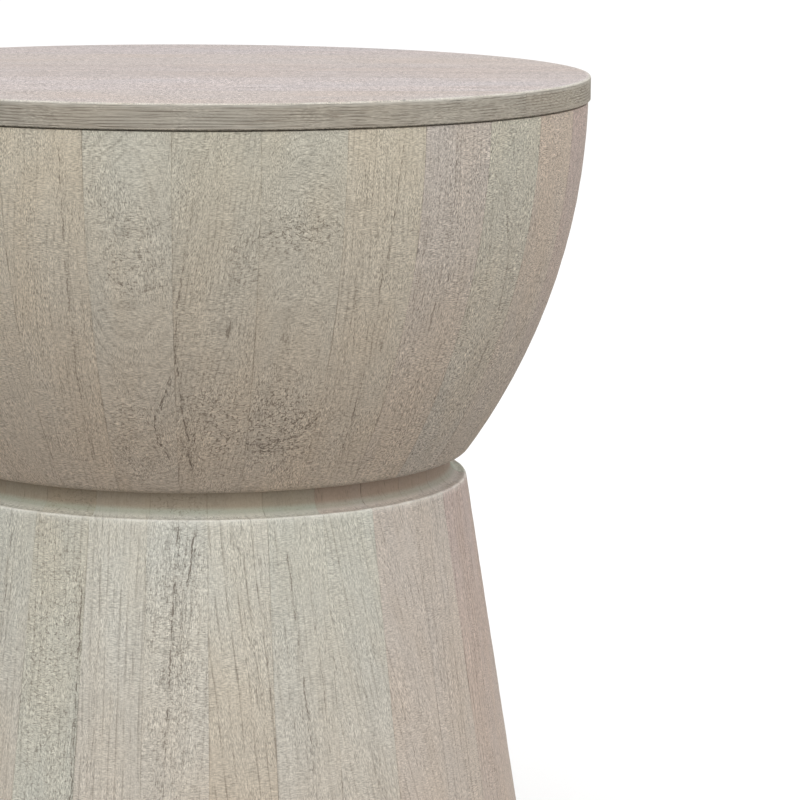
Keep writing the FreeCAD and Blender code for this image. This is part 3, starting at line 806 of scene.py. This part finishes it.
# Short fibres along and across, longer ones along, and open pores, rougher in some patches
rough = between(wood, noise(wood, place, (40, 40, 22), 2), 0.32, 0.68, 0.8, 1.15)
lay = between(wood, noise(wood, place, (55, 55, 40), 1), 0.42, 0.58)
short = noise(wood, wavy, (2200, 2200, 450), 0)
cross = noise(wood, wavy, (450, 450, 2200), 0)
fibre = noise(wood, bent, (2100, 2100, 14), 0)
band = noise(wood, bent, (120, 120, 6), 2)
pores = times(between(wood, noise(wood, bent, (900, 900, 80), 2), 0.6, 0.7),
              between(wood, noise(wood, bent, (60, 60, 9), 2), 0.48, 0.6), given["Pores"])
threads = times(between(wood, fibre, 0.55, 0.72), given["Fibre"])
turned_up = times(lay, given["Patchy"])
laid_flat = sum_of(wood, "SUBTRACT", given["Patchy"], turned_up)
along = times(swing(short, 2.4), given["Fuzz"], sum_of(wood, "SUBTRACT", 1.0, turned_up))
athwart = times(swing(cross, 2.4), given["Hatch"], sum_of(wood, "SUBTRACT", 1.0, laid_flat))
nap = times(total(along, athwart), rough, given["Nap"])

# Thin dark squiggles where the grain is torn up, each with a painted highlight beside it as on a lit
# crest
curl = sum_of(wood, "SUBTRACT", noise(wood, wavy, (240, 240, 430), 1), 0.5)
raised = times(between(wood, noise(wood, place, (600, 600, 450), 1), 0.42, 0.55),
               total(given["Torn"], times(given["Hatch"], 0.15)))
squiggle = times(between(wood, sum_of(wood, "ABSOLUTE", curl), 0.055, 0.015), raised)
crest_highlight = times(between(wood, sum_of(wood, "ABSOLUTE", total(curl, 0.1)), 0.05, 0.01), raised)

# What all these marks add up to: shade with painted highlights, dark pores, warmth and height
dark = total(times(pores, 0.5), times(threads, 0.3), times(late, given["Lines"]), split,
             times(heart, 0.65), times(squiggle, 1.9))
wood.links.new(total(nap, times(swing(fibre, 0.4), given["Fibre"]), swing(band, 0.12),
                     times(lip_highlight, 0.32), times(crest_highlight, 0.4), 1.0), result["Shade"])
wood.links.new(sum_of(wood, "MINIMUM", dark, 1.0), result["Dark"])
wood.links.new(noise(wood, bent, (30, 30, 12), 2), result["Warmth"])
wood.links.new(total(times(nap, 0.25), times(late, -0.5), times(threads, -0.2), times(pores, -0.4),
                     times(split, -0.7), times(squiggle, -0.5)), result["Height"])


def new_material(name):
    made = bpy.data.materials.new(name)
    made.use_nodes = True
    tree = made.node_tree
    return made, tree, tree.nodes["Principled BSDF"]


PORE_COLOUR = (*pigment((84, 72, 60)), 1)
# Colour of the painted highlight on crisp edges
PAINTED_HIGHLIGHT_COLOUR = (*pigment((222, 220, 212)), 1)
# Painted shade multiplied into the cove under the bowl, and a deeper one up near the bowl
GROOVE_PAINTED_SHADE = (0.68, 0.71, 0.66, 1)
GROOVE_DEEP_PAINTED_SHADE = (0.86, 0.72, 0.68, 1)
WARM_WASH = (1.015, 1.0, 0.98, 1)
COOL_WASH = (0.985, 1.0, 1.015, 1)
WASH_RELIEF, PLAIN_RELIEF = 0.5 * MM, 0.2 * MM


def whitewash(name, spread=1.0, **strengths):
    """Whitewashed and blasted wood, tinted piece by piece. A small spread draws its grain sideways."""
    made, tree, skin = new_material(name)
    grain = stretched(tree, mark(tree, "grain", "Vector"), (1, spread, 1))
    painted_light_and_shade = mark(tree, "painted_light_and_shade")
    out_of_groove = between(tree, painted_light_and_shade, -0.12, -0.02, 0.15, 1.0)
    inputs = {"Place": grain, "Face": mark(tree, "face", "Vector"), "Knot": mark(tree, "knot", "Vector"),
              "Line off": mark(tree, "line_off", "Vector"),
              "Line strength": mark(tree, "line_strength", "Vector"),
              "Figure": sum_of(tree, "MULTIPLY", mark(tree, "tint", "Alpha"), out_of_groove),
              "Nap": sum_of(tree, "MULTIPLY", mark(tree, "nap"), out_of_groove),
              "Torn": mark(tree, "torn"), **strengths}
    if "Rings" not in strengths:
        inputs["Rings"] = mark(tree, "rings")
    cut = add(tree, "ShaderNodeGroup", inputs, node_tree=wood)
    colour = blended(tree, 1.0, mark(tree, "tint", "Color"), grey(tree, cut.outputs["Shade"]), "MULTIPLY")
    warmth = blended(tree, between(tree, cut.outputs["Warmth"], 0.3, 0.7), COOL_WASH, WARM_WASH)
    colour = blended(tree, 1.0, colour, warmth, "MULTIPLY")
    colour = blended(tree, sum_of(tree, "MULTIPLY", cut.outputs["Dark"], 0.7), colour, PORE_COLOUR)
    # Painted highlight on crisp edges, broken up by noise
    painted_highlight = sum_of(tree, "MULTIPLY", sum_of(tree, "MAXIMUM", painted_light_and_shade, 0.0),
                    between(tree, noise(tree, grain, (60, 60, 60), 2), 0.35, 0.6, 0.4, 0.75))
    colour = blended(tree, painted_highlight, colour, PAINTED_HIGHLIGHT_COLOUR)
    seam = sum_of(tree, "MULTIPLY", between(tree, mark(tree, "joint"), SEAM_EDGE, SEAM_HEART),
                  between(tree, noise(tree, grain, (300, 300, 25), 3), 0.46, 0.68))
    colour = blended(tree, sum_of(tree, "MULTIPLY", seam, 0.45), colour, PORE_COLOUR)
    # Painted shade in the cove under the bowl, deeper and browner towards the bowl
    colour = blended(tree, between(tree, painted_light_and_shade, -0.02, -0.2), colour, GROOVE_PAINTED_SHADE, "MULTIPLY")
    colour = blended(tree, between(tree, painted_light_and_shade, -0.2, -0.42), colour, GROOVE_DEEP_PAINTED_SHADE, "MULTIPLY")
    tree.links.new(colour, skin.inputs["Base Color"])
    skin.inputs["Roughness"].default_value = 0.85
    skin.inputs["Specular IOR Level"].default_value = 0.3
    raise_grain(tree, skin, cut.outputs["Height"], 1.0, WASH_RELIEF)
    return made


WOODS = {"bowl": whitewash("whitewashed bowl", Fibre=0.4, Pores=0.5, Fuzz=0.55, Hatch=0.46, Lines=0.32,
                           Waver=1.0),
         "base": whitewash("whitewashed base", Fibre=0.8, Pores=0.6, Fuzz=0.48, Hatch=0.36, Lines=0.65,
                           Waver=0.5),
         "lid": whitewash("whitewashed lid top", Fibre=1.1, Pores=0.6, Patchy=0.15, Fuzz=0.75, Hatch=0.5,
                          Lines=0.5, Waver=0.5)}
lid_edge = whitewash("whitewashed lid edge", spread=0.12, Fibre=2.0, Pores=0.6, Fuzz=0.3, Hatch=0.0,
                     Rings=620, Lines=1.5, Waver=0.15)
LID_EDGE_STEEPER = 0.4
for name, piece in pieces.items():
    kind = name.split("_")[0]
    piece.data.materials.clear()
    piece.data.materials.append(WOODS[kind])
    if kind == "lid":
        piece.data.materials.append(lid_edge)
        for face in piece.data.polygons:
            face.material_index = int(abs(face.normal.z) < LID_EDGE_STEEPER)
    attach(piece, "lid" if kind == "lid" else "table")


# Plain wood and plywood of the hidden pieces, drawn in the table's own coordinates
OFF_PITH = (-0.62, 0.03, 0.4)
PLAIN_PORE = (*pigment((120, 88, 56)), 1)
GLUE_SHADE = 0.72


def plain_wood(name, colour, order, layers=None, **strengths):
    """Bare wood. order says which of x, y and z is the depth, the width and the length of the board."""
    made, tree, skin = new_material(name)
    part = add(tree, "ShaderNodeSeparateXYZ", {0: in_place(tree)}).outputs
    ways = {n: part[way] for n, way in enumerate(order)}
    board = add(tree, "ShaderNodeCombineXYZ", ways).outputs[0]
    board = add(tree, "ShaderNodeVectorMath", {0: board, 1: OFF_PITH}, operation="ADD").outputs[0]
    inputs = {"Place": board, "Face": (1, 1, 1), "Rings": 240.0, "Figure": 1.0, **strengths}
    cut = add(tree, "ShaderNodeGroup", inputs, node_tree=wood)
    ground = (*pigment(colour), 1)
    if layers:
        ply = sum_of(tree, "FRACT", sum_of(tree, "MULTIPLY", part["Z"], 1 / layers))
        normal = add(tree, "ShaderNodeNewGeometry").outputs["Normal"]
        flat = sum_of(tree, "ABSOLUTE", add(tree, "ShaderNodeSeparateXYZ", {0: normal}).outputs["Z"])
        dark_ply = sum_of(tree, "MULTIPLY", between(tree, ply, 0.44, 0.52), between(tree, ply, 1.0, 0.94))
        edge = sum_of(tree, "MULTIPLY", between(tree, flat, 0.9, 0.6), dark_ply)
        ground = blended(tree, edge, ground, (*pigment([channel * GLUE_SHADE for channel in colour]), 1))
    colour = blended(tree, 1.0, ground, grey(tree, cut.outputs["Shade"]), "MULTIPLY")
    colour = blended(tree, sum_of(tree, "MULTIPLY", cut.outputs["Dark"], 0.5), colour, PLAIN_PORE)
    tree.links.new(colour, skin.inputs["Base Color"])
    skin.inputs["Roughness"].default_value = 0.65
    raise_grain(tree, skin, cut.outputs["Height"], 0.6, PLAIN_RELIEF)
    return made


def scuffed(name, scale, reach, fresh, dull, roughness):
    """A plain material whose scuffs change its colour and its roughness."""
    made, tree, skin = new_material(name)
    scuff = between(tree, noise(tree, in_place(tree), scale, 3), *reach)
    tree.links.new(blended(tree, scuff, fresh, dull), skin.inputs["Base Color"])
    tree.links.new(between(tree, scuff, 0.0, 1.0, *roughness), skin.inputs["Roughness"])
    return made, skin


PLY = 3 * MM
batten_wood = plain_wood("planed batten", (204, 178, 140), "ZXY", Fibre=0.5, Fuzz=0.15, Hatch=0.0,
                         Lines=0.5, Waver=0.4)
plywood = plain_wood("plywood", (206, 186, 152), "ZYX", layers=PLY, Fibre=0.6, Fuzz=0.2, Hatch=0.0,
                     Lines=0.3, Waver=1.0)
nylon, skin = scuffed("glide nylon", (90, 900, 400), (0.45, 0.7),
                      (0.66, 0.64, 0.59, 1), (0.48, 0.46, 0.42, 1), (0.35, 0.6))
steel, skin = scuffed("zinc screw", (500, 500, 500), (0.35, 0.65),
                      (0.62, 0.61, 0.58, 1), (0.46, 0.45, 0.43, 1), (0.25, 0.45))
skin.inputs["Metallic"].default_value = 1.0
for name, paint in (("lid_batten_left", batten_wood), ("lid_batten_right", batten_wood),
                    ("bowl_floor", plywood), ("base_top_disc", plywood), ("foot_ring", plywood),
                    ("foot_glides", nylon)):
    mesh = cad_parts[name].data
    mesh.materials.clear()
    mesh.materials.append(paint)


# Countersunk screws with a cross recess, whose arm, width and depth are shares of the head
RECESS_ARM, RECESS_WIDTH, RECESS_DEPTH = 0.27, 0.075, 0.3


def screw_pattern(name, head, shank, length):
    """A screw that points up from the middle of its head."""
    cone = (head - shank) / 2
    flat, ease, point = 0.5 * MM, 0.2 * MM, 1.6 * shank
    outline = [(0, 0), (head / 2 - ease, 0), (head / 2, ease), (head / 2, flat),
               (shank / 2, flat + cone), (shank / 2, length - point), (0, length)]
    thing = drawn_face(name, outline)
    edit_all(thing)
    bpy.ops.mesh.delete(type="ONLY_FACE")
    bpy.ops.mesh.select_all(action="SELECT")
    bpy.ops.mesh.spin(steps=SCREW_FACETS, angle=math.tau, center=(0, 0, 0), axis=(0, 0, 1))
    done()
    clean(thing)
    bpy.ops.object.select_all(action="DESELECT")
    bpy.ops.mesh.primitive_cube_add(size=1)
    cross = bpy.context.object
    arm, width, depth = head * RECESS_ARM, head * RECESS_WIDTH, head * RECESS_DEPTH
    cross.data.transform(Matrix.Diagonal((width * 2, width * 2, depth * 2, 1)))
    for way in ((1, 0), (-1, 0), (0, 1), (0, -1)):
        for face in cross.data.polygons:
            outward = face.normal.x * way[0] + face.normal.y * way[1] > 0.9
            on_core = abs(face.center.x) + abs(face.center.y) < width * 1.1
            face.select = outward and on_core
        edit(cross, "FACE")
        bpy.ops.mesh.extrude_region_move(
            TRANSFORM_OT_translate={"value": (way[0] * (arm - width), way[1] * (arm - width), 0)})
        done()
    only(thing)
    cut = thing.modifiers.new("recess", "BOOLEAN")
    cut.object = cross
    bpy.ops.object.modifier_apply(modifier=cut.name)
    drop(cross)
    clean(thing)
    thing.data.materials.append(steel)
    return thing


def put_screw(pattern, name, spot, node, body, over, turn):
    made = copy_of(pattern, name)
    flip = Matrix.Rotation(math.pi, 4, "X") if over else Matrix.Identity(4)
    made.data.transform(Matrix.Translation(spot) @ Matrix.Rotation(turn, 4, "Z") @ flip)
    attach(made, body)
    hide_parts(node)


# Head, shank and length of the screws, how many there are, and the turn from each to the next
LID_SCREW, SCREWS_A_BATTEN, LID_SCREW_TURN = (8 * MM, 4 * MM, 26 * MM), 5, 0.7
WAIST_SCREW, WAIST_SCREWS, WAIST_SCREW_TURN = (10 * MM, 5 * MM, 36 * MM), 6, 1.1
low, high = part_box("lid_screws")
lid_screw = screw_pattern("lid_screw", *LID_SCREW)
row_x, row_end = high.x - LID_SCREW[0] / 2, high.y - LID_SCREW[0] / 2
half_row = (SCREWS_A_BATTEN - 1) / 2
for number in range(2 * SCREWS_A_BATTEN):
    side = number // SCREWS_A_BATTEN * 2 - 1
    spot = Vector((row_x * side, row_end * (number % SCREWS_A_BATTEN - half_row) / half_row, low.z))
    put_screw(lid_screw, "lid_screw_%02d" % (number + 1), spot, "lid_screws", "lid", False,
              number * LID_SCREW_TURN)
drop(lid_screw)
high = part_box("waist_screws")[1]
waist_screw = screw_pattern("waist_screw", *WAIST_SCREW)
ring_radius = high.x - WAIST_SCREW[0] / 2
for number in range(WAIST_SCREWS):
    turn = number * math.tau / WAIST_SCREWS
    spot = Vector((ring_radius * math.cos(turn), ring_radius * math.sin(turn), high.z))
    put_screw(waist_screw, "waist_screw_%d" % (number + 1), spot, "waist_screws", "table", True,
              number * WAIST_SCREW_TURN)
drop(waist_screw)

# Stage: a pale floor that keeps the table's shadow, and a plain white room
FLOOR_SIZE = 60
FLOOR_DROP = 0.05 * MM
FLOOR_SEEN = (0.96, 0.96, 0.96, 1)
FLOOR_UNSEEN = (0.23, 0.225, 0.215, 1)
ROOM_SEEN, ROOM_UNSEEN = 1.0, 1.1


def looked_at(tree):
    """1 for a ray that shows the background: straight, in metal or through glass."""
    way = add(tree, "ShaderNodeLightPath").outputs
    mirrored = sum_of(tree, "MAXIMUM", way["Is Glossy Ray"], way["Is Transmission Ray"])
    return sum_of(tree, "MAXIMUM", way["Is Camera Ray"], mirrored)


bpy.ops.object.select_all(action="DESELECT")
bpy.ops.mesh.primitive_plane_add(size=FLOOR_SIZE, location=(0, 0, -FLOOR_DROP))
floor = bpy.context.object
floor.name = "floor"
floor_paint, tree, skin = new_material("pale floor")
seen = add(tree, "ShaderNodeBsdfDiffuse", {"Color": FLOOR_SEEN})
unseen = add(tree, "ShaderNodeBsdfDiffuse", {"Color": FLOOR_UNSEEN})
choice = add(tree, "ShaderNodeMixShader", {0: looked_at(tree), 1: unseen.outputs[0], 2: seen.outputs[0]})
from_below = add(tree, "ShaderNodeNewGeometry").outputs["Backfacing"]
clear = add(tree, "ShaderNodeBsdfTransparent")
choice = add(tree, "ShaderNodeMixShader", {0: from_below, 1: choice.outputs[0], 2: clear.outputs[0]})
tree.links.new(choice.outputs[0], tree.nodes["Material Output"].inputs["Surface"])
floor.data.materials.append(floor_paint)
floor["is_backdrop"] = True

room = bpy.data.worlds.new("white room")
bpy.context.scene.world = room
room.use_nodes = True
tree = room.node_tree
strength = sum_of(tree, "MULTIPLY_ADD", looked_at(tree), ROOM_SEEN - ROOM_UNSEEN, ROOM_UNSEEN)
backdrop = tree.nodes["Background"]
backdrop.inputs["Color"].default_value = (1, 1, 1, 1)
tree.links.new(strength, backdrop.inputs["Strength"])


def softbox(name, place, target, size, power):
    lamp = bpy.data.lights.new(name, "AREA")
    lamp.shape = "SQUARE"
    lamp.size = size
    lamp.energy = power
    made = bpy.data.objects.new(name, lamp)
    bpy.context.collection.objects.link(made)
    made.location = place
    made.rotation_euler = (Vector(target) - Vector(place)).to_track_quat("-Z", "Y").to_euler()


softbox("front softbox", place=(-0.4, -2.6, 2.6), target=(0, 0, 0.3), size=1.8, power=22)
softbox("right fill", place=(2.2, -1.6, 0.5), target=(0, 0, 0.35), size=1.2, power=7)

# Camera
CAMERA_PLACE = Vector((0, -2.2555, LID_TOP + 0.1682))
CAMERA_LENS, CAMERA_SENSOR = 174.93, 36
YAW, PITCH, ROLL = 0.05302, 0.15857, 0.00766
ahead = Vector((math.sin(YAW) * math.cos(PITCH), math.cos(YAW) * math.cos(PITCH), -math.sin(PITCH)))
right = Vector((math.cos(YAW), -math.sin(YAW), 0))
up = right.cross(ahead)
axis_x = right * math.cos(ROLL) + up * math.sin(ROLL)
axis_y = up * math.cos(ROLL) - right * math.sin(ROLL)
lens = bpy.data.cameras.new("camera")
lens.lens = CAMERA_LENS
lens.sensor_width = CAMERA_SENSOR
lens.clip_start = 0.01
camera = bpy.data.objects.new("camera", lens)
bpy.context.collection.objects.link(camera)
turned = Matrix((axis_x, axis_y, -ahead)).transposed().to_4x4()
camera.matrix_world = Matrix.Translation(CAMERA_PLACE) @ turned
bpy.context.scene.camera = camera
bpy.context.scene.view_settings.view_transform = "Standard"

low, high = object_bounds()
